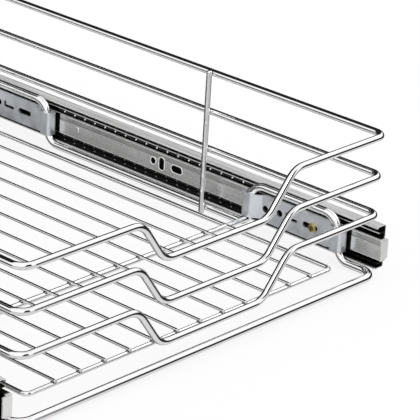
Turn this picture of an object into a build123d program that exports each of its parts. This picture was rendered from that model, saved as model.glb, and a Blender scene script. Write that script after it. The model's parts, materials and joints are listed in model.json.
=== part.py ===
from build123d import *
import os

# A pull-out wire basket for a kitchen unit, 450 mm wide outside and 412 mm clear inside.
# Bent and welded wires make the basket, and four sheet brackets hook it to the two
# telescopic ball slides that are screwed to the unit's sides.
# X is to the right, Y to the back and Z up. The origin is the middle of the object's base.
# Heights are measured from the centre line of the bottom frame wire, and lengths from the
# centre line of the front wires, until frame_z() and at() turn them into places.

# the basket as a whole
UNIT_CLEAR_WIDTH = 412.0
BASKET_WIDTH = 377.0
BASKET_DEPTH = 490.0
UPRIGHT_FOOT = 5.0

# wire diameters
FRAME_WIRE = 6.4
RAIL_WIRE = 5.5
UPRIGHT_WIRE = 4.5
CROSS_WIRE = 4.4
BORDER_WIRE = 3.6
FLOOR_WIRE = 2.4
WELD = 0.25

# the three rails, and the dip that lowers each one across the front
RAIL_HEIGHTS = {"lower_rail": 50.0, "middle_rail": 82.0, "top_rail": 115.0}
RAIL_CORNER = 9.5
DIP_DEPTH = 33.0
# distances from the middle to the dip's upper bend and to its lower bend, which differ a little
DIP_RIGHT = (84.0, 56.0)
DIP_LEFT = (76.0, 52.0)
DIP_RADIUS = 18.0

# the bottom frame, with the humps that the brackets hook on
FRAME_CORNER = 12.0
HUMP_LEGS = (37.5, 129.5)
HUMP_HEIGHT = 35.5
HUMP_TOP_RADIUS = 15.0
HUMP_FOOT_RADIUS = 11.0

# the uprights
SIDE_UPRIGHT_Y = 176.5
BACK_UPRIGHT_X = 94.0
UPRIGHT_TOP_ROUND = 2.0

# the floor grid
BORDER_HALF_WIDTH = 161.4
BORDER_INSET = 20.5
BORDER_RADIUS = 5.0
FLOOR_WIRES = 12
FLOOR_PITCH = 24.6

# the slides, measured from the unit's side inwards
SLIDE_HEIGHT = 36.0
SLIDE_CENTRE_Z = 17.8
SLIDE_THICKNESS = 11.5
SLIDE_LENGTH = 480.0
SLIDE_FRONT = 5.3
SHEET = 1.2
LIP_SETBACK = 0.4
LIP_DEPTH = 2.1
LIP_LEAN = 0.6
MIDDLE_WEB = 2.6
MIDDLE_HALF_HEIGHT = 13.3
MIDDLE_REACH = 9.5
MIDDLE_FRONT = 4.3
INNER_HALF_HEIGHT = 9.3
INNER_FLANGE_BACK = 5.4
INNER_FRONT = -0.5
INNER_CREASE = (4.0, 0.35)
TAB_REACH = 3.0
TAB_HEIGHT = 15.6
BUMPER_LENGTH = 6.8
BUMPER_GAP = 0.4
# slots: distance behind the front wires, length, width and whether it stands upright
INNER_SLOTS = [(215.3, 12.0, 6.2, False), (232.3, 10.8, 5.8, True)]
# the round hole behind them, and the pressed dimple further back
INNER_HOLE = (241.9, 5.6)
INNER_DIMPLE = (331.6, 5.4)
DIMPLE_RISE = 0.5

# balls and their cages
OUTER_BALL = 3.2
INNER_BALL = 2.5
BALL_PITCH = 12.0
BALLS_IN_ROW = 19
OUTER_ROW = (7.4, 15.05)
INNER_ROW = (8.3, 10.7)
CAGE_SHEET = 0.8
CAGE_FRONT = 127.0
OUTER_CAGE_WEB = 1.5
INNER_CAGE_WEB = 4.1
POCKET_PLAY = 0.15
CAGE_EDGE = 0.2

# the holes for the screws into the unit's side, and the holes that reach them
SIDE_SCREW_HOLE = 4.5
SIDE_SCREW_FIRST = 35.0
SIDE_SCREW_SPACING = 192.0
SIDE_SCREWS = 3
ACCESS_HOLE = 10.0

# the brackets
BRACKET_SHEET = 1.6
BRACKET_CENTRE = 17.6
BRACKET_HEIGHT = 23.0
BRACKET_END_HEIGHT = 19.8
BRACKET_CRANK = 5.7
HOOK_PLAY = 0.1
HOOK_BEND = 2.0
HOOK_SLACK = 0.8
HOOK_TAIL = 1.5
# where the crank starts and ends, behind the hump's front leg and before its rear leg
FRONT_CRANK = (4.5, 8.5)
REAR_CRANK = (11.5, 3.5)
CRANK_BENDS = (1.6, 3.0)
# where the outline narrows towards the ends, measured in the same way
FRONT_TAPER = (6.0, 12.0)
REAR_TAPER = (16.0, 10.0)
# the bracket's screws and holes: distance behind the hump's front leg, height and size
SLOT_SCREW = 27.0
HOLE_SCREW = 76.5
SCREW_HEIGHT = 17.6
SCREW_SLOT = (29.8, 17.6, 15.2, 4.8)
# the narrow slot and the short upright one at its rear end make an L
NARROW_SLOT = (49.4, 17.0, 12.4, 2.6)
UPRIGHT_SLOT = (54.3, 18.6, 5.8, 2.6)
ROUND_HOLE = (61.6, 18.2, 2.9)
SCREW_HOLE = (76.5, 17.0, 3.0)

# the bracket screws
SCREW_DIAMETER = 4.0
SCREW_HEAD = 7.6
SCREW_HEAD_HEIGHT = 2.4
SCREW_LENGTH = 9.0
RECESS = (4.2, 0.9, 1.5)
SCREW_POINT = 0.8

# places worked out from the sizes above
RAIL_HALF = BASKET_WIDTH / 2
FRAME_OUT = (FRAME_WIRE - RAIL_WIRE) / 2
FRAME_HALF = RAIL_HALF + FRAME_OUT
CROSS_Z = FRAME_WIRE / 2 + CROSS_WIRE / 2 - WELD
FLOOR_Z = CROSS_Z + CROSS_WIRE / 2 + FLOOR_WIRE / 2 - WELD
BORDER_Z = CROSS_Z + CROSS_WIRE / 2 - BORDER_WIRE / 2
UPRIGHT_INSET = RAIL_WIRE / 2 + UPRIGHT_WIRE / 2 - WELD
SLIDE_OUTER_X = UNIT_CLEAR_WIDTH / 2

SLIDE_REAR = SLIDE_FRONT + SLIDE_LENGTH
MEMBER_REAR = SLIDE_REAR - BUMPER_LENGTH - BUMPER_GAP


def at(x, y, z):
    """A place, from X, the distance behind the front wires and the height above the frame wire."""
    return (x, y - BASKET_DEPTH / 2, z + UPRIGHT_FOOT)


def wire_along(points, radii, diameter):
    """A round wire bent along straight runs, with one bend radius for each corner."""
    path = FilletPolyline(*points, radius=radii)
    start = Plane(origin=path @ 0, z_dir=path % 0)
    return sweep(start * Circle(diameter / 2), path=path)


def closed_wire(half_route, diameter):
    """A closed wire from its right and left halves, which meet at the back and at the front."""
    halves = [wire_along(*half_route(side), diameter) for side in (1, -1)]
    return halves[0] + halves[1]


def straight_wire(start, end, diameter):
    axis = Vector(*end) - Vector(*start)
    rod = extrude(Circle(diameter / 2), axis.length)
    return Plane(origin=start, z_dir=axis) * rod


def rail(height):
    """One rail: level round the back and sides, and dipped across the front."""
    low = height - DIP_DEPTH

    def route(side):
        upper, lower = DIP_RIGHT if side > 0 else DIP_LEFT
        points = [
            at(0, BASKET_DEPTH, height),
            at(side * RAIL_HALF, BASKET_DEPTH, height),
            at(side * RAIL_HALF, 0, height),
            at(side * upper, 0, height),
            at(side * lower, 0, low),
            at(0, 0, low),
        ]
        return points, [RAIL_CORNER, RAIL_CORNER, DIP_RADIUS, DIP_RADIUS]

    return closed_wire(route, RAIL_WIRE)


def base_frame():
    """The bottom frame, which rises in two humps along each side."""
    front = -FRAME_OUT
    rear = BASKET_DEPTH + FRAME_OUT
    near, far = HUMP_LEGS

    def route(side):
        x = side * FRAME_HALF
        points = [at(0, rear, 0), at(x, rear, 0)]
        radii = [FRAME_CORNER]
        for first, last in ((BASKET_DEPTH - near, BASKET_DEPTH - far), (far, near)):
            points += [at(x, first, 0), at(x, first, HUMP_HEIGHT)]
            points += [at(x, last, HUMP_HEIGHT), at(x, last, 0)]
            radii += [HUMP_FOOT_RADIUS, HUMP_TOP_RADIUS, HUMP_TOP_RADIUS, HUMP_FOOT_RADIUS]
        points += [at(x, front, 0), at(0, front, 0)]
        return points, radii + [FRAME_CORNER]

    return closed_wire(route, FRAME_WIRE)


def upright(x, y):
    """A straight wire with rounded ends, welded inside the frame and the three rails."""
    top = RAIL_HEIGHTS["top_rail"] + RAIL_WIRE / 2
    rod = straight_wire(at(x, y, -UPRIGHT_FOOT), at(x, y, top), UPRIGHT_WIRE)
    return fillet(rod.edges().filter_by(GeomType.CIRCLE), UPRIGHT_TOP_ROUND)


def grid_border():
    """The wire ring round the floor."""

    def route(side):
        x = side * BORDER_HALF_WIDTH
        front = BORDER_INSET
        rear = BASKET_DEPTH - BORDER_INSET
        points = [at(0, rear, BORDER_Z), at(x, rear, BORDER_Z), at(x, front, BORDER_Z)]
        return points + [at(0, front, BORDER_Z)], [BORDER_RADIUS, BORDER_RADIUS]

    return closed_wire(route, BORDER_WIRE)


def floor_wires():
    """The thin wires that lie on the border and the cross wires, from front to back."""
    front = BORDER_INSET - BORDER_WIRE / 2
    rear = BASKET_DEPTH - front
    places = [(i - (FLOOR_WIRES - 1) / 2) * FLOOR_PITCH for i in range(FLOOR_WIRES)]
    rods = [straight_wire(at(x, front, FLOOR_Z), at(x, rear, FLOOR_Z), FLOOR_WIRE) for x in places]
    return Compound(children=rods)


def cross_wire(y, border):
    """A wire across the frame that carries the floor. It is pressed round the border by the weld."""
    reach = FRAME_HALF - FRAME_WIRE / 2 + WELD
    return straight_wire(at(-reach, y, CROSS_Z), at(reach, y, CROSS_Z), CROSS_WIRE) - border


def slide_place(side, inward, height):
    """X and Z of a point of a slide, from the unit's side and from the slide's middle height."""
    return (side * (SLIDE_OUTER_X - inward), UPRIGHT_FOOT + SLIDE_CENTRE_Z + height)


def drawn_in(end, next_point, distance):
    """The end of a line, moved a little towards the next point."""
    way = Vector(*next_point) - Vector(*end)
    return Vector(*end) + way.normalized() * distance


def bent_strip(points, radii, sheet, plane, length):
    """Sheet metal bent along an open line, pushed out along the plane's normal.

    The offset rounds the sheet's edges, so the line starts and stops half a sheet short.
    """
    first = drawn_in(points[0], points[1], sheet / 2)
    last = drawn_in(points[-1], points[-2], sheet / 2)
    line = FilletPolyline(first, *points[1:-1], last, radius=radii)
    outline = offset(line, sheet / 2, kind=Kind.INTERSECTION)
    return extrude(plane * make_face(outline), length)


def profile(side, points, radius, sheet, front, rear):
    """A rolled slide member: its section's centre line, run from its rear end to its front end."""
    plane = Plane(origin=at(0, rear, -UPRIGHT_FOOT), x_dir=(1, 0, 0), z_dir=(0, -1, 0))
    places = [slide_place(side, *point) for point in points]
    return bent_strip(places, radius, sheet, plane, rear - front)


def hole_through(side, inward, y, height, diameter):
    """A drill across a slide at one place, as long as the slide is thick."""
    x, z = slide_place(side, inward, height)
    drill = Cylinder(diameter / 2, SLIDE_THICKNESS, rotation=(0, 90, 0))
    return Pos(x, at(0, y, 0)[1], z) * drill


def slot_through(side, inward, y, height, length, width, upright_slot=False):
    """A cutter for a slot with round ends."""
    x, z = slide_place(side, inward, height)
    shape = SlotOverall(length, width, rotation=90 if upright_slot else 0)
    plane = Plane(origin=(x - SLIDE_THICKNESS / 2, at(0, y, 0)[1], z), x_dir=(0, 1, 0), z_dir=(1, 0, 0))
    return extrude(plane * shape, SLIDE_THICKNESS)


def side_screw_places():
    """Distances behind the front wires of the holes for the screws into the unit's side."""
    return [SLIDE_FRONT + SIDE_SCREW_FIRST + i * SIDE_SCREW_SPACING for i in range(SIDE_SCREWS)]


def outer_member(side):
    """The channel that is screwed to the unit's side, with lips that lean in over the outer balls."""
    web = SHEET / 2
    edge = SLIDE_HEIGHT / 2 - SHEET / 2
    lip = SLIDE_THICKNESS - LIP_SETBACK - SHEET / 2
    points = [(lip - LIP_LEAN, edge - LIP_DEPTH), (lip, edge), (web, edge)]
    points += [(web, -edge), (lip, -edge), (lip - LIP_LEAN, LIP_DEPTH - edge)]
    shape = profile(side, points, [1.1, 1.8, 1.8, 1.1], SHEET, SLIDE_FRONT, SLIDE_REAR)
    for y in side_screw_places():
        shape -= hole_through(side, 0, y, 0, SIDE_SCREW_HOLE)
    return shape


def middle_member(side):
    """The channel between the two rows of balls, with holes that reach the side screws."""
    web = MIDDLE_WEB + SHEET / 2
    edge = MIDDLE_HALF_HEIGHT - SHEET / 2
    points = [(MIDDLE_REACH, edge), (web, edge), (web, -edge), (MIDDLE_REACH, -edge)]
    shape = profile(side, points, [1.4, 1.4], SHEET, MIDDLE_FRONT, MEMBER_REAR)
    for y in side_screw_places():
        shape -= hole_through(side, 0, y, 0, ACCESS_HOLE)
    return shape


def inner_member(side):
    """The channel that the brackets are screwed to. Its front end is folded over as a tab."""
    web = SLIDE_THICKNESS - SHEET / 2
    edge = INNER_HALF_HEIGHT - SHEET / 2
    crease, depth = INNER_CREASE
    points = [(INNER_FLANGE_BACK, edge), (web, edge), (web - depth, crease), (web, crease - 2 * depth)]
    points += [(web, -edge), (INNER_FLANGE_BACK, -edge)]
    shape = profile(side, points, [1.4, 0.3, 0.3, 1.4], SHEET, INNER_FRONT, MEMBER_REAR)
    shape += front_tab(side)
    for y, length, width, stands in INNER_SLOTS:
        shape -= slot_through(side, SLIDE_THICKNESS, y, 0, length, width, stands)
    shape -= hole_through(side, SLIDE_THICKNESS, INNER_HOLE[0], 0, INNER_HOLE[1])
    shape += dimple(side)
    for y in bracket_screw_places():
        shape -= hole_through(side, SLIDE_THICKNESS, y, SCREW_HEIGHT - SLIDE_CENTRE_Z, SCREW_DIAMETER)
    return shape


def dimple(side):
    """A round button pressed out of the inner member's web, towards the basket."""
    y, diameter = INNER_DIMPLE
    x, z = slide_place(side, SLIDE_THICKNESS, 0)
    button = Cylinder(diameter / 2, 2 * DIMPLE_RISE)
    button = fillet(button.edges().group_by(Axis.Z)[-1], 0.8 * DIMPLE_RISE)
    return Plane(origin=(x, at(0, y, 0)[1], z), z_dir=(-side, 0, 0)) * button


def front_tab(side):
    """The end of the inner member's web, folded towards the unit's side."""
    x_in, z_mid = slide_place(side, SLIDE_THICKNESS, 0)
    x_out, _ = slide_place(side, TAB_REACH, 0)
    y = at(0, INNER_FRONT, 0)[1]
    tab = Box(abs(x_out - x_in), SHEET, TAB_HEIGHT)
    return Pos((x_in + x_out) / 2, y + SHEET / 2, z_mid) * tab


def ball_places(row, side):
    """Centres of the balls of a slide's upper and lower row."""
    inward, height = row
    first = CAGE_FRONT + BALL_PITCH / 2
    for sign in (1, -1):
        x, z = slide_place(side, inward, sign * height)
        for i in range(BALLS_IN_ROW):
            yield (x, at(0, first + i * BALL_PITCH, 0)[1], z)


def balls(row, diameter, side):
    return Compound(children=[Pos(*place) * Sphere(diameter / 2) for place in ball_places(row, side)])


def ball_cage(row, diameter, web, reach, side):
    """The black cage that spaces the balls: one web and two strips with a pocket for each ball."""
    _, height = row
    line = web + CAGE_SHEET / 2
    rear = CAGE_FRONT + BALLS_IN_ROW * BALL_PITCH
    points = [(reach, height), (line, height), (line, -height), (reach, -height)]
    shape = profile(side, points, [1.0, 1.0], CAGE_SHEET, CAGE_FRONT, rear)
    pocket = Cylinder(diameter / 2 + POCKET_PLAY, diameter)
    return shape - [Pos(*place) * pocket for place in ball_places(row, side)]


def rear_bumper(side):
    """The soft stop pressed into the rear end of the outer member."""
    x_out, z_mid = slide_place(side, SHEET, 0)
    x_in, _ = slide_place(side, MIDDLE_REACH, 0)
    height = SLIDE_HEIGHT - 2 * SHEET
    block = Box(abs(x_out - x_in), BUMPER_LENGTH, height)
    block = fillet(block.edges().filter_by(Axis.Y), 1.3)
    return Pos((x_out + x_in) / 2, at(0, SLIDE_REAR - BUMPER_LENGTH / 2, 0)[1], z_mid) * block


def bracket_starts():
    """Distance behind the front wires of each bracket's front hump leg."""
    return {"front": HUMP_LEGS[0], "rear": BASKET_DEPTH - HUMP_LEGS[1]}


def bracket_screw_places():
    """The front bracket is screwed through its slot and the rear one through its round hole."""
    starts = bracket_starts()
    return [starts["front"] + SLOT_SCREW, starts["rear"] + HOLE_SCREW]


def bracket(side, first_leg):
    """A sheet bracket: a hook round each leg of a hump, and a cranked plate between them."""
    second_leg = first_leg + HUMP_LEGS[1] - HUMP_LEGS[0]
    hook = FRAME_WIRE / 2 + HOOK_PLAY + BRACKET_SHEET / 2
    inside = FRAME_HALF - hook
    outside = FRAME_HALF + hook
    plate = inside + BRACKET_CRANK
    front = first_leg - HOOK_SLACK - hook
    back = second_leg + HOOK_SLACK + hook
    line = [(outside, first_leg + HOOK_TAIL), (outside, front), (inside, front)]
    line += [(inside, first_leg + FRONT_CRANK[0]), (plate, first_leg + FRONT_CRANK[1])]
    line += [(plate, second_leg - REAR_CRANK[0]), (inside, second_leg - REAR_CRANK[1])]
    line += [(inside, back), (outside, back), (outside, second_leg - HOOK_TAIL)]
    front_bend, rear_bend = CRANK_BENDS
    radii = [HOOK_BEND, HOOK_BEND, front_bend, front_bend, rear_bend, rear_bend, HOOK_BEND, HOOK_BEND]
    plane = Plane(origin=at(0, 0, BRACKET_CENTRE - BRACKET_HEIGHT / 2))
    places = [(side * x, y) for x, y in line]
    sheet = bent_strip(places, radii, BRACKET_SHEET, plane, BRACKET_HEIGHT)
    return (sheet & bracket_outline(first_leg, second_leg)) - bracket_holes(side, first_leg)


def bracket_outline(first_leg, second_leg):
    """The side view of a bracket, whose ends are narrower than its middle."""
    end = BRACKET_END_HEIGHT / 2
    middle = BRACKET_HEIGHT / 2
    beyond = 2 * FRAME_WIRE
    upper = [(first_leg - beyond, end), (first_leg + FRONT_TAPER[0], end)]
    upper += [(first_leg + FRONT_TAPER[1], middle), (second_leg - REAR_TAPER[0], middle)]
    upper += [(second_leg - REAR_TAPER[1], end), (second_leg + beyond, end)]
    lower = [(y, -z) for y, z in reversed(upper)]
    plane = Plane(origin=at(-UNIT_CLEAR_WIDTH / 2, 0, BRACKET_CENTRE), x_dir=(0, 1, 0), z_dir=(1, 0, 0))
    return extrude(plane * make_face(Polyline(*upper, *lower, close=True)), UNIT_CLEAR_WIDTH)


def bracket_holes(side, first_leg):
    """Cutters for the screw slot, the narrow slot bent to an L, and the two round holes."""
    plane = Plane(origin=at(side * FRAME_HALF, first_leg, 0), x_dir=(0, 1, 0), z_dir=(1, 0, 0))
    shapes = [Pos(y, z) * SlotOverall(length, width) for y, z, length, width in (SCREW_SLOT, NARROW_SLOT)]
    y, z, length, width = UPRIGHT_SLOT
    shapes.append(Pos(y, z) * SlotOverall(length, width, rotation=90))
    shapes += [Pos(y, z) * Circle(radius) for y, z, radius in (ROUND_HOLE, SCREW_HOLE)]
    return [extrude(plane * shape, 2 * FRAME_WIRE, both=True) for shape in shapes]


def bracket_screw(side, y):
    """A cross-recessed screw from the bracket's plate through the inner member's web."""
    hook = FRAME_WIRE / 2 + HOOK_PLAY + BRACKET_SHEET / 2
    seat = FRAME_HALF - hook + BRACKET_CRANK - BRACKET_SHEET / 2
    head = Cylinder(SCREW_HEAD / 2, SCREW_HEAD_HEIGHT, align=(Align.CENTER, Align.CENTER, Align.MAX))
    head = fillet(head.edges().group_by(Axis.Z)[0], SCREW_HEAD_HEIGHT * 0.6)
    for turn in (0, 90):
        recess = Box(*RECESS, rotation=(0, 0, turn), align=(Align.CENTER, Align.CENTER, Align.MIN))
        head -= Pos(0, 0, -SCREW_HEAD_HEIGHT) * recess
    shank = Cylinder(SCREW_DIAMETER / 2, SCREW_LENGTH, align=(Align.CENTER, Align.CENTER, Align.MIN))
    shank = chamfer(shank.edges().group_by(Axis.Z)[-1], SCREW_POINT)
    seat_plane = Plane(origin=at(side * seat, y, SCREW_HEIGHT), z_dir=(side, 0, 0))
    return seat_plane * (head + shank)


def bracket_screws():
    screws = [bracket_screw(side, y) for side in (1, -1) for y in bracket_screw_places()]
    return Compound(children=screws)


def basket_nodes():
    """The welded wire basket."""
    border = grid_border()
    nodes = {name: rail(height) for name, height in RAIL_HEIGHTS.items()}
    nodes["base_frame"] = base_frame()
    side_x = RAIL_HALF - UPRIGHT_INSET
    back_y = BASKET_DEPTH - UPRIGHT_INSET
    for word, side in (("right", 1), ("left", -1)):
        nodes[word + "_side_upright"] = upright(side * side_x, SIDE_UPRIGHT_Y)
        nodes[word + "_back_upright"] = upright(side * BACK_UPRIGHT_X, back_y)
    nodes["grid_border"] = border
    nodes["floor_wires"] = floor_wires()
    nodes["front_cross_wire"] = cross_wire(HUMP_LEGS[1], border)
    nodes["rear_cross_wire"] = cross_wire(BASKET_DEPTH - HUMP_LEGS[0], border)
    return nodes


def slide_nodes(word, side):
    """One telescopic slide and the two brackets on it."""
    outer_reach = OUTER_ROW[0] + OUTER_BALL / 2 - CAGE_EDGE
    inner_reach = INNER_ROW[0] + INNER_BALL / 2 - CAGE_EDGE
    nodes = {
        "outer_member": outer_member(side),
        "middle_member": middle_member(side),
        "inner_member": inner_member(side),
        "outer_ball_cage": ball_cage(OUTER_ROW, OUTER_BALL, OUTER_CAGE_WEB, outer_reach, side),
        "inner_ball_cage": ball_cage(INNER_ROW, INNER_BALL, INNER_CAGE_WEB, inner_reach, side),
        "outer_balls": balls(OUTER_ROW, OUTER_BALL, side),
        "inner_balls": balls(INNER_ROW, INNER_BALL, side),
        "rear_bumper": rear_bumper(side),
    }
    for end, start in bracket_starts().items():
        nodes[end + "_bracket"] = bracket(side, start)
    return {word + "_" + name: shape for name, shape in nodes.items()}


def main():
    os.makedirs("parts", exist_ok=True)
    nodes = basket_nodes()
    nodes["bracket_screws"] = bracket_screws()
    for word, side in (("right", 1), ("left", -1)):
        nodes.update(slide_nodes(word, side))
    for name, shape in nodes.items():
        export_step(shape, "parts/" + name + ".step")
        print(name, "solids", len(shape.solids()), "volume", round(shape.volume, 1))


main()
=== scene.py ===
# %% [markdown]
# # A pull-out fruit basket
# This is a shallow basket of chromed wire that slides out of a kitchen unit.
# The CAD model gives every piece its true place and size, in metres.
# Here we give each piece the smooth surface and the finish of the real one,
# then add a plain white studio and the camera of the photograph.

# %% Load the CAD model
import json
import math
import bmesh
import bpy
from mathutils import Matrix, Vector


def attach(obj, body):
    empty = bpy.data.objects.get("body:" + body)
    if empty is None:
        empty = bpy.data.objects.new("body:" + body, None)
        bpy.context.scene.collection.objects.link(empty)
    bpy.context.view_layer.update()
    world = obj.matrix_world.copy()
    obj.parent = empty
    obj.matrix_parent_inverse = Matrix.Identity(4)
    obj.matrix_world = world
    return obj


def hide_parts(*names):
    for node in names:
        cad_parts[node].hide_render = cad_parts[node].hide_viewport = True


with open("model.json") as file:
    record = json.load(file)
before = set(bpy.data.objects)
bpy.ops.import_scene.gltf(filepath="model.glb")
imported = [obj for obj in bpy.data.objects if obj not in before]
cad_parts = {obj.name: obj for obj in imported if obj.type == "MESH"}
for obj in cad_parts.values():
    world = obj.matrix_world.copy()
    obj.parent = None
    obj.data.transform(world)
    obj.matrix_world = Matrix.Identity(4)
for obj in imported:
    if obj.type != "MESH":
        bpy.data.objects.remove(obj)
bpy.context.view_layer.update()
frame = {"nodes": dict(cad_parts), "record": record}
scene = bpy.context.scene

# %% [markdown]
# ## Places
# Blender works in metres, and the sizes of the basket are easier to read in
# millimetres. The helper turns one into the other. It also moves the zero point:
# lengths are measured from the front wires and heights from the bottom wire, as a
# maker would measure them with a rule.

# %% A place in millimetres
DEPTH = 490.0
FOOT = 5.0


def at(x, y, z):
    return Vector((x, y - DEPTH / 2, z + FOOT)) / 1000


print("front of the bottom wire:", at(0, 0, 0))

# %% [markdown]
# ## Building a material
# A finish is a small net of nodes round one shader. Typed out in full, each net would
# hide what matters, so these cells keep the common parts: starting a material, feeding
# a socket, one sum, one mix, and the noise that stops a surface from being the same all
# over. The noise reads the object's own coordinates, so the pattern stays on its piece
# when the basket slides out. Numbers that are the same all over are typed into the
# shader itself.


# %% Start a material, and join its nodes
def grey(level):
    return (level, level, level)


def new_material(name, color, metallic, roughness):
    """A material with one shader, and what is needed to add nodes to it."""
    material = bpy.data.materials.new(name)
    material.use_nodes = True
    nodes = material.node_tree.nodes
    shader = nodes["Principled BSDF"]
    shader.inputs["Base Color"].default_value = (*color, 1)
    shader.inputs["Metallic"].default_value = metallic
    shader.inputs["Roughness"].default_value = roughness
    return material, nodes, material.node_tree.links, shader


def feed(links, value, socket):
    """Link a node's output to a socket, or type a plain value into it."""
    if isinstance(value, bpy.types.NodeSocket):
        links.new(value, socket)
    else:
        socket.default_value = value


def calculate(nodes, links, operation, first, second=0.0):
    """One sum of two numbers, each of them plain or from a node."""
    total = nodes.new("ShaderNodeMath")
    total.operation = operation
    feed(links, first, total.inputs[0])
    feed(links, second, total.inputs[1])
    return total.outputs["Value"]


def mix_colors(nodes, links, factor, first, second, blend="MIX"):
    """A Mix node, which has its colours at inputs 6 and 7 and its result at output 2."""
    mix = nodes.new("ShaderNodeMix")
    mix.data_type = "RGBA"
    mix.blend_type = blend
    feed(links, factor, mix.inputs["Factor"])
    for color, socket in ((first, mix.inputs[6]), (second, mix.inputs[7])):
        feed(links, (*color, 1) if isinstance(color, tuple) else color, socket)
    return mix.outputs[2]


print("material tools ready")

# %% Noise, and what it can swing
NOISE_LOW, NOISE_HIGH = 0.3, 0.7  # the noise seldom leaves this range


def noise_on(nodes, links, scale, stretch=(1, 1, 1), detail=3.0):
    """Noise in the object's own coordinates; stretch makes it longer one way."""
    place = nodes.new("ShaderNodeTexCoord")
    mapping = nodes.new("ShaderNodeMapping")
    mapping.inputs["Scale"].default_value = stretch
    noise = nodes.new("ShaderNodeTexNoise")
    noise.inputs["Scale"].default_value = scale
    noise.inputs["Detail"].default_value = detail
    links.new(place.outputs["Object"], mapping.inputs["Vector"])
    links.new(mapping.outputs["Vector"], noise.inputs["Vector"])
    return noise


def vary(nodes, links, noise, socket, low, high):
    """Let the noise swing a number between low and high."""
    swing = nodes.new("ShaderNodeMapRange")
    swing.inputs["From Min"].default_value = NOISE_LOW
    swing.inputs["From Max"].default_value = NOISE_HIGH
    swing.inputs["To Min"].default_value = low
    swing.inputs["To Max"].default_value = high
    links.new(noise.outputs["Fac"], swing.inputs["Value"])
    links.new(swing.outputs["Result"], socket)


def tinted(nodes, links, noise, dark, light):
    """A colour that the noise swings between two near ones."""
    ramp = nodes.new("ShaderNodeValToRGB")
    ends = zip(ramp.color_ramp.elements, (NOISE_LOW, NOISE_HIGH), (dark, light))
    for end, position, color in ends:
        end.position = position
        end.color = (*color, 1)
    links.new(noise.outputs["Fac"], ramp.inputs["Fac"])
    return ramp.outputs["Color"]


def roughen(nodes, links, noise, shader, strength, height):
    """A weak bump from the noise, with its height in metres."""
    bump = nodes.new("ShaderNodeBump")
    bump.inputs["Strength"].default_value = strength
    bump.inputs["Distance"].default_value = height
    links.new(noise.outputs["Fac"], bump.inputs["Height"])
    links.new(bump.outputs["Normal"], shader.inputs["Normal"])


print("noise swings from", NOISE_LOW, "to", NOISE_HIGH)

# %% [markdown]
# ## Chrome
# Chrome is a mirror that is a little darker than white. A plain mirror would be quicker,
# but one that is perfectly even looks like plastic film. So a slow noise changes its
# roughness by a few hundredths, and a weak bump gives the plating its faint waviness.
# The balls are polished steel and get a little darker colour. The welds get a much
# darker colour, partly for the weld and partly as painted shade where the wires cross.

# %% The chrome of the wires, the balls and the welds
BALL_COLOR = (0.86, 0.86, 0.87)


def chrome(name, color):
    material, nodes, links, shader = new_material(name, color, metallic=1.0, roughness=0.04)
    slow = noise_on(nodes, links, scale=35.0)
    vary(nodes, links, slow, shader.inputs["Roughness"], low=0.02, high=0.06)
    waves = noise_on(nodes, links, scale=90.0, detail=1.0)
    roughen(nodes, links, waves, shader, strength=0.12, height=0.0002)
    return material


wire_chrome = chrome("wire_chrome", (0.95, 0.95, 0.955))
ball_chrome = chrome("ball_chrome", BALL_COLOR)
# Dark: partly the weld, and partly painted shade where the wires cross.
weld_and_shade_chrome = chrome("weld_and_shade_chrome", (0.18, 0.175, 0.17))
print("chrome materials ready")

# %% [markdown]
# ## Where a slide gets painted shade
# The raceways of the slides lie in deep shade, which is why they look black between the
# bright edges. That shade is painted into the steel's colour as near black. It could be
# painted on a picture, but where it lies depends on the place alone, and tests of the
# object's coordinates give a sharp edge at any size. Each test is 1 where it holds and 0
# elsewhere. So a product of two tests means both of them, and the larger of two means
# either.

# %% Tests of a place
SLIDE_HEIGHT = 17.8  # the middle of a slide above the bottom wire, in millimetres
MID_SLIDE = (SLIDE_HEIGHT + FOOT) / 1000


class Spot:
    """The place that is being shaded, in metres, and tests of it."""

    def __init__(self, nodes, links):
        self.nodes, self.links = nodes, links
        place = nodes.new("ShaderNodeTexCoord")
        split = nodes.new("ShaderNodeSeparateXYZ")
        links.new(place.outputs["Object"], split.inputs["Vector"])
        self.back, self.up = split.outputs["Y"], split.outputs["Z"]
        self.outward = self.calculate("ABSOLUTE", split.outputs["X"])
        self.along = self.calculate("ABSOLUTE", self.back)
        lift = self.calculate("SUBTRACT", self.up, MID_SLIDE)
        self.off_middle = self.calculate("ABSOLUTE", lift)

    def calculate(self, operation, first, second=0.0):
        return calculate(self.nodes, self.links, operation, first, second)

    def over(self, length, limit):
        return self.calculate("GREATER_THAN", length, limit)

    def under(self, length, limit):
        return self.calculate("LESS_THAN", length, limit)

    def both(self, first, second):
        return self.calculate("MULTIPLY", first, second)

    def either(self, first, second):
        return self.calculate("MAXIMUM", first, second)


print("the middle of a slide is", round(MID_SLIDE, 4), "m up")

# %% Where each member gets painted shade
# Half heights from the middle of a slide, in metres.
WEB_HALF = 0.0078
LIP_HALF = 0.0162
FLANGE_HALF = 0.0172
# Distances from the middle of the basket out to a slide, in metres.
COVERED_FACE = 0.1951
CUT_EDGE = 0.19485
INNER_FLANGE = 0.1958
LIP_END = 0.1968
MIDDLE_SHADE_FROM = 0.1972
CABINET_FACE = 0.2054
# Distances along a slide from the middle of the basket, in metres.
BRACKET_START, BRACKET_END = 0.1070, 0.2158
BEHIND_TAB = -0.2440


def below_middle(spot):
    """The lower half of a slide, which gets painted shade."""
    return spot.under(spot.up, MID_SLIDE)


def raceways(spot):
    """The bands above and below a slide's web, where its balls run."""
    under_lip = spot.under(spot.off_middle, LIP_HALF)
    under_flange = spot.under(spot.off_middle, FLANGE_HALF)
    behind_lip = spot.over(spot.outward, LIP_END)
    within_skin = spot.either(under_lip, spot.both(under_flange, behind_lip))
    return spot.both(spot.over(spot.off_middle, WEB_HALF), within_skin)


def outer_painted_shade(spot):
    """Painted shade in the raceways, but not on the back that lies on the cabinet."""
    return spot.both(spot.under(spot.outward, CABINET_FACE), raceways(spot))


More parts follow.
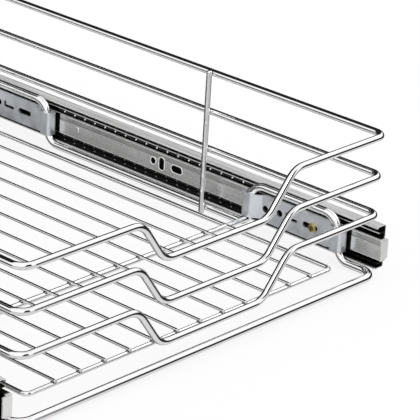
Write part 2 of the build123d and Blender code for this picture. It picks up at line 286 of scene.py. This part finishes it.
def middle_painted_shade(spot):
    """Painted shade in the raceways, but not on the edge of the upper flange, which stays light."""
    past_middle_edge = spot.over(spot.outward, MIDDLE_SHADE_FROM)
    return spot.both(spot.either(past_middle_edge, below_middle(spot)), raceways(spot))


def inner_painted_shade(spot):
    """Painted shade behind the front tab: on the flanges, the web beside a bracket, and the cut edges
    of holes.
    """
    track = spot.both(spot.over(spot.outward, INNER_FLANGE), raceways(spot))
    beside = spot.both(spot.over(spot.along, BRACKET_START), spot.under(spot.along, BRACKET_END))
    covered = spot.both(spot.under(spot.outward, COVERED_FACE), beside)
    on_web = spot.under(spot.off_middle, WEB_HALF)
    cut_edges = spot.both(on_web, spot.over(spot.outward, CUT_EDGE))
    in_shade = spot.either(track, spot.either(covered, cut_edges))
    return spot.both(in_shade, spot.over(spot.back, BEHIND_TAB))


print("a raceway starts", WEB_HALF, "m from the middle of its slide")

# %% [markdown]
# ## The steel of the slides
# The slides are rolled from bright steel strip. Rolling leaves very fine lines along
# the strip. An anisotropic shader could hint at them, but noise that is stretched a
# hundred times along Y also gives each line its own tone. The web of the inner member
# has a rolled step, and the shade along it is painted shade. Its folded front tab is
# painted near white, as a painted highlight.

# %% Painted shade and highlight of the inner member
STEP_HEIGHT = MID_SLIDE + 0.004
STEP_HALF = 0.0012
STEP_SHADE, ABOVE_STEP_SHADE = 0.30, 0.62
TAB_BACK = -0.2443
# Near white: a painted highlight on the inner member's front tab and round its holes.
PAINTED_HIGHLIGHT_STEEL = (0.97, 0.97, 0.96)


def step_shade(spot):
    """Painted shade: a dark line along the rolled step, and a little less light above it."""
    across = spot.nodes.new("ShaderNodeMapRange")
    across.inputs["From Min"].default_value = STEP_HEIGHT - STEP_HALF
    across.inputs["From Max"].default_value = STEP_HEIGHT + STEP_HALF
    spot.links.new(spot.up, across.inputs["Value"])
    shade = spot.nodes.new("ShaderNodeValToRGB")
    tones = shade.color_ramp.elements
    tones[0].color = (*grey(1), 1)
    tones[1].color = (*grey(ABOVE_STEP_SHADE), 1)
    tones.new(0.5).color = (*grey(STEP_SHADE), 1)
    spot.links.new(across.outputs["Result"], shade.inputs["Fac"])
    return shade.outputs["Color"]


def inner_painted_light(spot, steel):
    """The steel of the inner member, with painted shade along its step and a painted highlight on its
    front tab.
    """
    shaded = mix_colors(spot.nodes, spot.links, 1.0, steel, step_shade(spot), "MULTIPLY")
    # Painted highlight: the front tab turns near white.
    front_tab = spot.under(spot.back, TAB_BACK)
    return mix_colors(spot.nodes, spot.links, front_tab, shaded, PAINTED_HIGHLIGHT_STEEL)


print("the step is", round(STEP_HEIGHT, 4), "m up")

# %% Steel with its rolling lines and its painted shade
# Near black: painted shade in the raceways, behind the brackets and in the holes.
PAINTED_SHADE_BLACK = (0.012, 0.011, 0.010)
SMOOTHER, DULLER = 0.06, 0.08  # how far smudges change the roughness


def rolled_steel(name, dark, light, metallic, roughness, painted_shade, painted_light=None):
    material, nodes, links, shader = new_material(name, light, metallic, roughness)
    shader.inputs["Specular IOR Level"].default_value = 0.2
    lines = noise_on(nodes, links, scale=900.0, stretch=(1, 0.01, 1))
    spot = Spot(nodes, links)
    steel = tinted(nodes, links, lines, dark, light)
    if painted_light:
        steel = painted_light(spot, steel)
    # Painted shade: the steel turns near black where the test of the place holds.
    skin = mix_colors(nodes, links, painted_shade(spot), steel, PAINTED_SHADE_BLACK)
    links.new(skin, shader.inputs["Base Color"])
    smudge = noise_on(nodes, links, scale=25.0)
    low, high = roughness - SMOOTHER, roughness + DULLER
    vary(nodes, links, smudge, shader.inputs["Roughness"], low, high)
    roughen(nodes, links, lines, shader, strength=0.15, height=0.00005)
    return material


outer_steel = rolled_steel(
    "outer_steel", grey(0.48), (0.95, 0.95, 0.94), metallic=0.25, roughness=0.36, painted_shade=outer_painted_shade
)
middle_steel = rolled_steel(
    "middle_steel", grey(0.60), grey(0.78), metallic=0.8, roughness=0.30, painted_shade=middle_painted_shade
)
inner_steel = rolled_steel(
    "inner_steel", (0.82, 0.82, 0.81), (0.98, 0.98, 0.97), metallic=0.75, roughness=0.26,
    painted_shade=inner_painted_shade, painted_light=inner_painted_light,
)
slide_steels = {
    "outer_member": outer_steel, "middle_member": middle_steel, "inner_member": inner_steel
}
print("slide steels ready:", len(slide_steels))

# %% [markdown]
# ## Painted shade on the balls
# The balls of the lower rows are painted almost black as painted shade, while the upper
# ones stay bright. They could have a material of their own, but the rows of a cage are
# one piece, so one test of the height picks the colour.

# %% Paint shade on the lower balls
# Almost black: painted shade on the balls of the lower rows.
PAINTED_SHADE_BALL = grey(0.16)

nodes, links = ball_chrome.node_tree.nodes, ball_chrome.node_tree.links
ball_skin = mix_colors(nodes, links, below_middle(Spot(nodes, links)), BALL_COLOR, PAINTED_SHADE_BALL)
links.new(ball_skin, nodes["Principled BSDF"].inputs["Base Color"])
print("the lower balls are greasy")

# %% [markdown]
# ## Plated sheet and screws
# The brackets are pressed and then zinc plated, which leaves a paler, bluer and duller
# skin with a soft mottle. The screws have a yellow plating that looks like brass. A
# photograph of zinc could be wrapped round them, but noise does as well at this size
# and has no seams. One noise swings the colour and the roughness together, because a
# duller patch of plating is also a darker one.


# %% The zinc of the brackets and the yellow zinc of the screws
def plated(name, dark, light, metallic, smooth, dull):
    material, nodes, links, shader = new_material(name, light, metallic, roughness=dull)
    mottle = noise_on(nodes, links, scale=120.0, detail=5.0)
    links.new(tinted(nodes, links, mottle, dark, light), shader.inputs["Base Color"])
    vary(nodes, links, mottle, shader.inputs["Roughness"], low=smooth, high=dull)
    grain = noise_on(nodes, links, scale=1500.0, detail=2.0)
    roughen(nodes, links, grain, shader, strength=0.2, height=0.00004)
    return material


bracket_zinc = plated(
    "bracket_zinc", (0.80, 0.83, 0.87), (0.88, 0.91, 0.94), metallic=0.85, smooth=0.30, dull=0.44
)
screw_yellow = plated(
    "screw_yellow", (0.36, 0.28, 0.11), (0.58, 0.49, 0.25), metallic=1.0, smooth=0.20, dull=0.32
)
print("plated materials ready")

# %% [markdown]
# ## Black cages and soft bumpers
# The ball cages are black and a little shiny from grease, and the bumpers are dull
# moulded rubber. Neither is a metal, so a plain black would nearly do. Only a change of
# roughness and a fine grain tell them apart from a hole.


# %% The dark plastics
def dark_plastic(name, dark, light, smooth, dull):
    material, nodes, links, shader = new_material(name, light, metallic=0.0, roughness=dull)
    smears = noise_on(nodes, links, scale=80.0)
    links.new(tinted(nodes, links, smears, dark, light), shader.inputs["Base Color"])
    vary(nodes, links, smears, shader.inputs["Roughness"], low=smooth, high=dull)
    grain = noise_on(nodes, links, scale=2500.0, detail=2.0)
    roughen(nodes, links, grain, shader, strength=0.25, height=0.00005)
    return material


cage_black = dark_plastic(
    "cage_black", (0.008, 0.008, 0.009), (0.02, 0.02, 0.022), smooth=0.3, dull=0.5
)
bumper_rubber = dark_plastic("bumper_rubber", grey(0.02), grey(0.04), smooth=0.6, dull=0.8)
print("dark materials ready")

# %% [markdown]
# ## Bending wire
# A bent wire is a circle pushed along straight runs and spun round its bends, just
# as a bending machine makes it. Extrude makes the straight runs and spin makes the
# bends, so every section stays round and the surface stays smooth. A curve with a
# bevel would be quicker to type, but its bends aren't true arcs.

# %% Make a finished piece
SHARP_EDGE = 35.0
ROUND_LUMP = 60.0


def finish_piece(bm, name, material, body, nodes, sharp=SHARP_EDGE):
    """Turn a bmesh into a smooth piece that rides on a body and stands for its nodes."""
    mesh = bpy.data.meshes.new(name)
    bm.to_mesh(mesh)
    bm.free()
    for face in mesh.polygons:
        face.use_smooth = True
    mesh.set_sharp_from_angle(angle=math.radians(sharp))
    mesh.materials.append(material)
    piece = bpy.data.objects.new(name, mesh)
    scene.collection.objects.link(piece)
    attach(piece, body)
    if nodes:
        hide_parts(*nodes)
    print(name, len(mesh.polygons), "faces")


print("an edge is sharp from", SHARP_EDGE, "degrees")

# %% Bend one wire
WIRE_SIDES = 24
ARC_STEP = math.radians(7.5)
NEAR_END = 1.0 / 1000


def section_at(bm, place, direction, radius):
    """The wire's round section, square to the way that it runs."""
    turn = Vector((0, 0, 1)).rotation_difference(direction).to_matrix().to_4x4()
    made = bmesh.ops.create_circle(
        bm, cap_ends=False, segments=WIRE_SIDES, radius=radius, matrix=Matrix.Translation(place) @ turn
    )
    return list({edge for vert in made["verts"] for edge in vert.link_edges})


def run_to(bm, ring, place, target):
    """A straight run, with a ring near each end that keeps a bend's shading off the run."""
    way = (target - place).normalized()
    stops = [target]
    if (target - place).length > 5 * NEAR_END:
        stops = [place + way * NEAR_END, target - way * NEAR_END, target]
    for stop in stops:
        made = bmesh.ops.extrude_edge_only(bm, edges=ring)["geom"]
        verts = [g for g in made if isinstance(g, bmesh.types.BMVert)]
        bmesh.ops.translate(bm, verts=verts, vec=stop - place)
        ring = [g for g in made if isinstance(g, bmesh.types.BMEdge)]
        place = stop
    return ring


def bend_round(bm, ring, centre, axis, angle):
    """A bend: the ring is spun round the bend's centre."""
    steps = max(3, math.ceil(angle / ARC_STEP))
    verts = list({vert for edge in ring for vert in edge.verts})
    made = bmesh.ops.spin(
        bm, geom=verts + ring, cent=centre, axis=axis, angle=angle, steps=steps, use_duplicate=False
    )
    return [g for g in made["geom_last"] if isinstance(g, bmesh.types.BMEdge)]


def bent_wire(bm, points, radii, radius):
    """A wire along straight runs with a bend at each inner point, as one tube."""
    place = points[0]
    first = (points[1] - points[0]).normalized()
    ring = section_at(bm, place, first, radius)
    for before, corner, after, bend in zip(points, points[1:], points[2:], radii):
        come = (corner - before).normalized()
        leave = (after - corner).normalized()
        angle = come.angle(leave)
        tangent = bend * math.tan(angle / 2)
        start = corner - come * tangent
        ring = run_to(bm, ring, place, start)
        inward = (leave - come * come.dot(leave)).normalized()
        ring = bend_round(bm, ring, start + inward * bend, come.cross(leave).normalized(), angle)
        place = corner + leave * tangent
    run_to(bm, ring, place, points[-1])


print("a wire has", WIRE_SIDES, "sides")

# %% [markdown]
# ## Closing and cutting wire
# The rails, the bottom frame and the edge of the floor are closed rings: their two ends
# meet and are butt welded, so the first and the last section are merged. The other
# wires are cut to length, and get a cap and a rounded edge at each end.


# %% Close a wire, or cap its ends
MERGED_WITHIN = 0.01 / 1000


def closed(bm):
    """Weld the last section to the first, where the real wire's butt joint is."""
    bmesh.ops.remove_doubles(bm, verts=bm.verts, dist=MERGED_WITHIN)
    bmesh.ops.recalc_face_normals(bm, faces=bm.faces)


def capped(bm, ends, rounding):
    """Close both ends of a wire and round their edges."""
    rims = []
    for ring in ends:
        bmesh.ops.contextual_create(bm, geom=ring)
        rims += ring
    bmesh.ops.recalc_face_normals(bm, faces=bm.faces)
    bmesh.ops.bevel(
        bm, geom=rims, offset=rounding, segments=3, profile=0.5, affect="EDGES", material=-1
    )


def straight(bm, start, end, radius, rounding):
    """One straight wire, cut to length."""
    ring = section_at(bm, start, (end - start).normalized(), radius)
    capped(bm, [ring, run_to(bm, ring, start, end)], rounding)


def in_metres(points, radii):
    """The route of a wire in metres, from places and bends in millimetres."""
    return [at(*point) for point in points], [radius / 1000 for radius in radii]


def finish_wire(bm, kind, node):
    """Plate a wire, or several in one node, and let it take the place of its CAD node."""
    finish_piece(bm, kind + "_" + node, wire_chrome, "basket", [node])


def bend_ring(node, route, radius):
    """Bend, close and plate a ring of wire."""
    bm = bmesh.new()
    bent_wire(bm, *route, radius)
    closed(bm)
    finish_wire(bm, "bent", node)


print("bending tools ready")

# %% [markdown]
# ## The three rails
# Each rail is one closed ring of wire. It stays level round the back and the sides,
# and dips across the front so that a hand can reach in. The dips of the three rails
# are the same, one above the other. In the photograph they start a few millimetres
# nearer to the middle on the left than on the right, so the route does too.

# %% Bend the rails
RAIL_RADIUS = 2.75 / 1000
RAIL_HALF = 188.5
RAIL_CORNER = 9.5
RAIL_HEIGHTS = {"lower_rail": 50.0, "middle_rail": 82.0, "top_rail": 115.0}
DIP_DEPTH = 33.0
DIP_RIGHT = (84.0, 56.0)
DIP_LEFT = (-52.0, -76.0)
DIP_RADIUS = 18.0


def rail_route(height):
    low = height - DIP_DEPTH
    points = [(0, DEPTH, height), (RAIL_HALF, DEPTH, height), (RAIL_HALF, 0, height)]
    points += [(DIP_RIGHT[0], 0, height), (DIP_RIGHT[1], 0, low)]
    points += [(DIP_LEFT[0], 0, low), (DIP_LEFT[1], 0, height)]
    points += [(-RAIL_HALF, 0, height), (-RAIL_HALF, DEPTH, height), (0, DEPTH, height)]
    return in_metres(points, [RAIL_CORNER] * 2 + [DIP_RADIUS] * 4 + [RAIL_CORNER] * 2)


for node, height in RAIL_HEIGHTS.items():
    bend_ring(node, rail_route(height), RAIL_RADIUS)

# %% [markdown]
# ## The bottom frame
# The bottom wire is thicker than the rails, because the whole basket hangs on it.
# Along each side it rises in two square humps. The brackets hook round their legs. It
# is made in the same way as the rails, and only half of its route is written out: the
# other half is its mirror image, in the opposite order.

# %% Bend the bottom frame
FRAME_RADIUS = 3.2 / 1000
FRAME_CORNER = 12.0
FRAME_HALF = 188.95
FRAME_FRONT = -0.44
HUMP_LEGS = (37.5, 129.5)
HUMP_TOP = 35.5
HUMP_FOOT_BEND, HUMP_TOP_BEND = 11.0, 15.0


def mirrored_route(right, radii):
    """A closed route from its right half, with the left half as its mirror image."""
    left = [(-x, y, z) for x, y, z in reversed(right)]
    return in_metres(right + left, radii + radii[::-1])


def frame_route():
    near, far = HUMP_LEGS
    rear = DEPTH - FRAME_FRONT
    right = [(0, rear, 0), (FRAME_HALF, rear, 0)]
    radii = [FRAME_CORNER]
    for first, last in ((DEPTH - near, DEPTH - far), (far, near)):
        right += [(FRAME_HALF, first, 0), (FRAME_HALF, first, HUMP_TOP)]
        right += [(FRAME_HALF, last, HUMP_TOP), (FRAME_HALF, last, 0)]
        radii += [HUMP_FOOT_BEND, HUMP_TOP_BEND, HUMP_TOP_BEND, HUMP_FOOT_BEND]
    right += [(FRAME_HALF, FRAME_FRONT, 0)]
    return mirrored_route(right, radii + [FRAME_CORNER])


bend_ring("base_frame", frame_route(), FRAME_RADIUS)

# %% [markdown]
# ## The uprights
# Four straight wires carry the rails. They are welded to the inner side of the rails
# and stop just above the top one, and their feet are the lowest points of the basket.
# Cylinders would do for them, but the wire tools also round their cut ends, which a
# hand meets first on the real basket.

# %% Cut the uprights
UPRIGHT_RADIUS = 2.25 / 1000
UPRIGHT_ROUNDING = 1.5 / 1000
UPRIGHT_TOP = 117.75
UPRIGHTS = {"side": (183.75, 176.5), "back": (94.0, 485.25)}

for side, sign in (("right", 1), ("left", -1)):
    for kind, (x, y) in UPRIGHTS.items():
        bm = bmesh.new()
        foot, top = at(sign * x, y, -FOOT), at(sign * x, y, UPRIGHT_TOP)
        straight(bm, foot, top, UPRIGHT_RADIUS, UPRIGHT_ROUNDING)
        finish_wire(bm, "rod", side + "_" + kind + "_upright")

# %% [markdown]
# ## The floor
# The floor is a ring of wire on two cross wires, with twelve thin wires laid over it.
# The thin wires are one node of the CAD model, so they are built into one mesh in a
# loop. An array modifier would space them as well, but a loop is easier to read. Their
# cut ends are only just rounded, as a shear leaves them.

# %% Lay the edge of the floor and the thin wires
BORDER_RADIUS = 1.8 / 1000
BORDER_CORNER = 5.0
BORDER_HALF = 161.4
BORDER_FRONT = 20.5
BORDER_HEIGHT = 5.55
THIN_WIRES = 12
THIN_PITCH = 24.6
THIN_RADIUS = 1.2 / 1000
THIN_FRONT = 18.7
THIN_HEIGHT = 8.3
SHEARED = 0.3 / 1000


def border_route():
    right = [(0, DEPTH - BORDER_FRONT, BORDER_HEIGHT)]
    right += [(BORDER_HALF, DEPTH - BORDER_FRONT, BORDER_HEIGHT)]
    right += [(BORDER_HALF, BORDER_FRONT, BORDER_HEIGHT)]
    return mirrored_route(right, [BORDER_CORNER] * 2)


def thin_wire_places():
    """How far each thin wire lies to the right of the middle."""
    return [(number - (THIN_WIRES - 1) / 2) * THIN_PITCH for number in range(THIN_WIRES)]


bend_ring("grid_border", border_route(), BORDER_RADIUS)

bm = bmesh.new()
for x in thin_wire_places():
    front, rear = at(x, THIN_FRONT, THIN_HEIGHT), at(x, DEPTH - THIN_FRONT, THIN_HEIGHT)
    straight(bm, front, rear, THIN_RADIUS, SHEARED)
finish_wire(bm, "rod", "floor_wires")

# %% Lay the cross wires
CROSS_RADIUS = 2.2 / 1000
CROSS_HALF = 186.0
CROSS_HEIGHT = 5.15
CROSS_WIRES = {"front_cross_wire": 129.5, "rear_cross_wire": 452.5}

for node, y in CROSS_WIRES.items():
    bm = bmesh.new()
    left, right = at(-CROSS_HALF, y, CROSS_HEIGHT), at(CROSS_HALF, y, CROSS_HEIGHT)
    straight(bm, left, right, CROSS_RADIUS, SHEARED)
    finish_wire(bm, "rod", node)

# %% [markdown]
# ## Welds
# Each crossing is spot welded before it is plated: the two wires sink into each other
# by a quarter of a millimetre, and a little metal is squeezed out round the joint. The
# beads are coloured dark: partly the lumpy weld under the chrome, and partly painted
# shade where one wire shades the other. Joining the wires with a boolean would cost
# their clean sections, so each bead is a small sphere of its own that sits in the joint.


# %% Squeeze out the weld beads
def bead(bm, place, size):
    """One lump of weld, with its own half size in millimetres along each axis."""
    shape = Matrix.Diagonal((*(half / 1000 for half in size), 1))
    bmesh.ops.create_uvsphere(
        bm, u_segments=12, v_segments=8, radius=1, matrix=Matrix.Translation(place) @ shape
    )


def finish_beads(bm, name):
    finish_piece(bm, name, weld_and_shade_chrome, "basket", [], ROUND_LUMP)


FLOOR_WELD_HEIGHT = 7.0
BORDER_BEAD, CROSS_BEAD = (2.9, 1.8, 1.3), (2.9, 2.1, 1.3)
crossings = [(BORDER_FRONT, BORDER_BEAD)]
crossings += [(y, CROSS_BEAD) for y in CROSS_WIRES.values()]
crossings += [(DEPTH - BORDER_FRONT, BORDER_BEAD)]
bm = bmesh.new()
for x in thin_wire_places():
    for y, size in crossings:
        bead(bm, at(x, y, FLOOR_WELD_HEIGHT), size)
finish_beads(bm, "floor_welds")

# Where the wires of the frame meet, outward and back, and the size of a bead there.
FRAME_WELDS = (((185.9, 176.5), (1.0, 2.0, 2.3)), ((94.0, 487.3), (2.0, 1.0, 2.3)))
CROSS_WELD, CROSS_END_BEAD = 185.8, (1.2, 2.3, 2.3)
bm = bmesh.new()
for sign in (1, -1):
    for height in (0, *RAIL_HEIGHTS.values()):
        for (x, y), size in FRAME_WELDS:
            bead(bm, at(sign * x, y, height), size)
    for y in CROSS_WIRES.values():
        bead(bm, at(sign * CROSS_WELD, y, CROSS_HEIGHT), CROSS_END_BEAD)
finish_beads(bm, "frame_welds")

# %% [markdown]
# ## Pale rims
# The punch that cuts the three holes in a slide's inner member leaves a slightly raised
# rim. Each hole has a pale outline, which is a painted highlight: the rim is coloured near
# white all round.
# A bevel on the hole would be too small to see. Instead each rim is a thin bent wire
# round the hole, half sunk into the sheet.

# %% Raise the rims
RIM_RADIUS = 0.4 / 1000
WEB_FACE = 194.5
HOLES = ((215.3, 12.7, 6.9), (232.3, 6.5, 11.5), (241.9, 6.3, 6.3))


def rim_route(sign, y, long, high):
    """A closed path round a slot or a round hole, from the middle of its top."""
    reach, rise_by = long / 2, high / 2
    loop = [(0, rise_by), (reach, rise_by), (reach, -rise_by)]
    loop += [(-reach, -rise_by), (-reach, rise_by), (0, rise_by)]
    bend = min(reach, rise_by) - 0.01
    points = [(sign * WEB_FACE, y + along, SLIDE_HEIGHT + up) for along, up in loop]
    return in_metres(points, [bend] * 4)


bm = bmesh.new()
for sign in (1, -1):
    for hole in HOLES:
        bent_wire(bm, *rim_route(sign, *hole), RIM_RADIUS)
closed(bm)
# Near white: a painted highlight round each hole.
rim_painted_highlight = new_material("rim_painted_highlight", PAINTED_HIGHLIGHT_STEEL, metallic=0.3, roughness=0.4)[0]
finish_piece(bm, "hole_rims", rim_painted_highlight, "basket", [])

# %% [markdown]
# ## The balls
# A slide runs on two rows of steel balls, large ones in the outer cage and small ones
# in the inner cage. Each ball is a low sphere with smooth shading. They are small and
# there are many, so more faces would be wasted.

# %% Fill the cages with balls
MEMBER_BACK = 206.0
FIRST_BALL = 133.0
BALL_PITCH = 12.0
BALLS_IN_ROW = 19
BALL_ROWS = {"outer": (7.4, 15.05, 1.6), "inner": (8.3, 10.7, 1.25)}  # inward, up, radius

for side, sign in (("right", 1), ("left", -1)):
    for row, (inward, height, radius) in BALL_ROWS.items():
        bm = bmesh.new()
        for count in range(BALLS_IN_ROW):
            for up in (1, -1):
                y = FIRST_BALL + BALL_PITCH * count
                place = at(sign * (MEMBER_BACK - inward), y, SLIDE_HEIGHT + up * height)
                bmesh.ops.create_uvsphere(
                    bm, u_segments=14, v_segments=9, radius=radius / 1000,
                    matrix=Matrix.Translation(place),
                )
        node, cage = side + "_" + row + "_balls", side + "_" + row + "_cage"
        finish_piece(bm, "round_" + node, ball_chrome, cage, [node], ROUND_LUMP)

# %% [markdown]
# ## Sheet parts keep their CAD shape
# The slide members, cages, brackets, screws and bumpers are already right in the CAD
# model, down to their folds and holes. Modelling them again would only add mistakes.
# They only need their finish, so we put the materials on the CAD nodes.

# %% Give the CAD nodes their finish
finishes = {"bracket_zinc": bracket_zinc, "screw_brass": screw_yellow}
finishes |= {"cage_black": cage_black, "bumper_rubber": bumper_rubber}
for entry in frame["record"]["subparts"]:
    node = frame["nodes"][entry["node"]]
    member = entry["node"].split("_", 1)[-1]
    finish = finishes.get(entry["material_slot"]) or slide_steels.get(member)
    if finish:
        node.data.materials.clear()
        node.data.materials.append(finish)
        print(entry["node"], "is finished in", finish.name)

# %% [markdown]
# ## The studio floor
# The photograph has a plain white ground with hardly a shadow. More light would clip
# the chrome to white, so the floor itself glows a little, but only for rays from the
# camera. Reflections pass through it and see the ground of the world, as if the object
# stood on glass. It is for the camera and the object's shadow alone.

# %% Lay the studio floor
GROUND_RADIUS = 3.0
GROUND_HEIGHT = -0.0005
PLAIN_WHITE = 0.82


def mix_shaders(nodes, links, factor, first, second):
    """The first shader where the factor is 0, and the second where it is 1."""
    mix = nodes.new("ShaderNodeMixShader")
    links.new(factor, mix.inputs["Fac"])
    links.new(first, mix.inputs[1])
    links.new(second, mix.inputs[2])
    return mix.outputs["Shader"]


mesh = bpy.data.meshes.new("floor")
bm = bmesh.new()
bmesh.ops.create_circle(bm, cap_ends=True, segments=96, radius=GROUND_RADIUS)
bm.to_mesh(mesh)
bm.free()
floor = bpy.data.objects.new("floor", mesh)
scene.collection.objects.link(floor)
floor.location = (0, 0, GROUND_HEIGHT)

paper, nodes, links, shader = new_material("paper", grey(0.9), metallic=0.0, roughness=0.9)
shader.inputs["Specular IOR Level"].default_value = 0.1
seen = nodes.new("ShaderNodeLightPath")
white = nodes.new("ShaderNodeEmission").outputs["Emission"]
clear = nodes.new("ShaderNodeBsdfTransparent").outputs["BSDF"]
glow = calculate(nodes, links, "MULTIPLY", seen.outputs["Is Camera Ray"], PLAIN_WHITE)
ground = mix_shaders(nodes, links, glow, shader.outputs["BSDF"], white)
ground = mix_shaders(nodes, links, seen.outputs["Is Glossy Ray"], ground, clear)
links.new(ground, nodes["Material Output"].inputs["Surface"])
floor.data.materials.append(paper)
print("floor ready, radius", GROUND_RADIUS, "m")

# %% [markdown]
# ## The room in the chrome
# The chrome of the photograph is full of thin black lines. Chrome only looks like
# chrome where it has something dark to mirror, and in the photographer's studio that is
# the dark room behind the white floor and the lamps. Black cards round the object would
# do the same, but they would also throw shadows. So the world is the room: rays from the
# camera see plain white, and reflections see white with some dark areas in it.

# %% Where the room is dark
# How dark each area is, and the directions at which it starts along X, Y and Z: it goes
# smoothly from white at the first number to dark at the second.
DARK_AREAS = {
    "wall behind": (
        0.985, ("Y", 0.40, 0.54), ("X", -0.58, -0.44), ("Z", 0.96, 0.86), ("Z", -0.46, -0.38)
    ),
    "front right": (0.98, ("X", 0.56, 0.66), ("Z", 0.28, 0.18), ("Z", -0.42, -0.32)),
    "front": (
        0.97, ("Y", -0.62, -0.70), ("X", -0.50, -0.42), ("X", 0.30, 0.16), ("Z", 0.02, 0.10)
    ),
    "back left": (
        0.92, ("X", -0.3, -0.5), ("Y", 0.2, 0.4), ("Z", 0.10, 0.0), ("Z", -0.58, -0.48)
    ),
    "below": (0.28, ("Z", 0.0, -0.1)),
    "horizon": (0.46, ("Z", 0.05, -0.05), ("Z", -0.65, -0.40)),
    "under the object": (0.88, ("Z", -0.64, -0.72), ("Y", -0.1, 0.35), ("X", -0.16, -0.04)),
}
print("dark areas in the room:", len(DARK_AREAS))

# %% Build the world
WHITE = (1, 1, 1, 1)

scene.view_settings.view_transform = "Standard"
world = bpy.data.worlds.new("studio")
scene.world = world
world.use_nodes = True
nodes, links = world.node_tree.nodes, world.node_tree.links
way = nodes.new("ShaderNodeTexCoord")
split = nodes.new("ShaderNodeSeparateXYZ")
links.new(way.outputs["Generated"], split.inputs["Vector"])


def rise(axis, start, end):
    """Goes smoothly from 0 to 1 while the ray's direction along an axis goes from start to end."""
    step = nodes.new("ShaderNodeMapRange")
    step.interpolation_type = "SMOOTHSTEP"
    step.inputs["From Min"].default_value = start
    step.inputs["From Max"].default_value = end
    links.new(split.outputs[axis], step.inputs["Value"])
    return step.outputs["Result"]


darkness = 0.0
for depth, *bounds in DARK_AREAS.values():
    dark = depth
    for bound in bounds:
        dark = calculate(nodes, links, "MULTIPLY", dark, rise(*bound))
    darkness = calculate(nodes, links, "MAXIMUM", darkness, dark)

room = nodes["Background"]
room.inputs["Color"].default_value = WHITE
links.new(calculate(nodes, links, "SUBTRACT", 1.0, darkness), room.inputs["Strength"])
plain = nodes.new("ShaderNodeBackground")
plain.inputs["Color"].default_value = WHITE
plain.inputs["Strength"].default_value = 1.0
glossy = nodes.new("ShaderNodeLightPath").outputs["Is Glossy Ray"]
sky = mix_shaders(nodes, links, glossy, plain.outputs["Background"], room.outputs["Background"])
links.new(sky, nodes["World Output"].inputs["Surface"])
print("world ready")

# %% [markdown]
# ## The lamps
# The white world already lights the basket from all sides. Alone it would leave the
# sheet parts flat, so a large soft lamp at the front left shapes them, and a weaker one
# at the right lifts the shadows. Small lamps would draw hard streaks in the chrome.


# %% Hang the lamps
def lamp(name, place, target, size, power):
    """A square soft lamp that is aimed at the target."""
    data = bpy.data.lights.new(name, "AREA")
    data.shape = "RECTANGLE"
    data.size = data.size_y = size
    data.energy = power
    obj = bpy.data.objects.new(name, data)
    scene.collection.objects.link(obj)
    obj.location = place
    way = Vector(target) - Vector(place)
    obj.rotation_euler = way.to_track_quat("-Z", "Y").to_euler()
    print(name, "lamp of", power, "W")


BASKET_MIDDLE = (0, 0, 0.05)
lamp("key", (-1.2, -1.6, 2.2), BASKET_MIDDLE, size=1.2, power=10)
lamp("fill", (1.8, -0.6, 1.6), BASKET_MIDDLE, size=1.0, power=4)

# %% [markdown]
# ## The camera
# The camera stands at the front left, above the basket, and is aimed past its
# right-hand front corner. Its place and aim were worked out from the straight wires. An
# empty to look at would set the aim too, but not the slight roll of the photograph, so
# the three axes of the camera are worked out from its angles.

# %% Set up the camera
AZIMUTH, ELEVATION, ROLL = -48.771, 22.752, 3.469
CAMERA_PLACE = at(-1267.223, -1104.551, 809.858)
FOCAL_PIXELS = 2590.43
PHOTO_PIXELS = 420
SENSOR_WIDTH = 36.0

data = bpy.data.cameras.new("camera")
data.sensor_width = SENSOR_WIDTH
data.lens = FOCAL_PIXELS / PHOTO_PIXELS * SENSOR_WIDTH
data.clip_start, data.clip_end = 0.05, 50
camera = bpy.data.objects.new("camera", data)
scene.collection.objects.link(camera)
a, e, r = (math.radians(angle) for angle in (AZIMUTH, ELEVATION, ROLL))
back = Vector((math.sin(a) * math.cos(e), -math.cos(a) * math.cos(e), math.sin(e)))
right = Vector((math.cos(a), math.sin(a), 0))
up = back.cross(right)
turned_right = right * math.cos(r) + up * math.sin(r)
turned_up = up * math.cos(r) - right * math.sin(r)
aim = Matrix((turned_right, turned_up, back)).transposed().to_4x4()
camera.matrix_world = Matrix.Translation(CAMERA_PLACE) @ aim
scene.camera = camera
print("camera at", tuple(round(v, 3) for v in camera.location), "lens", round(data.lens, 1))
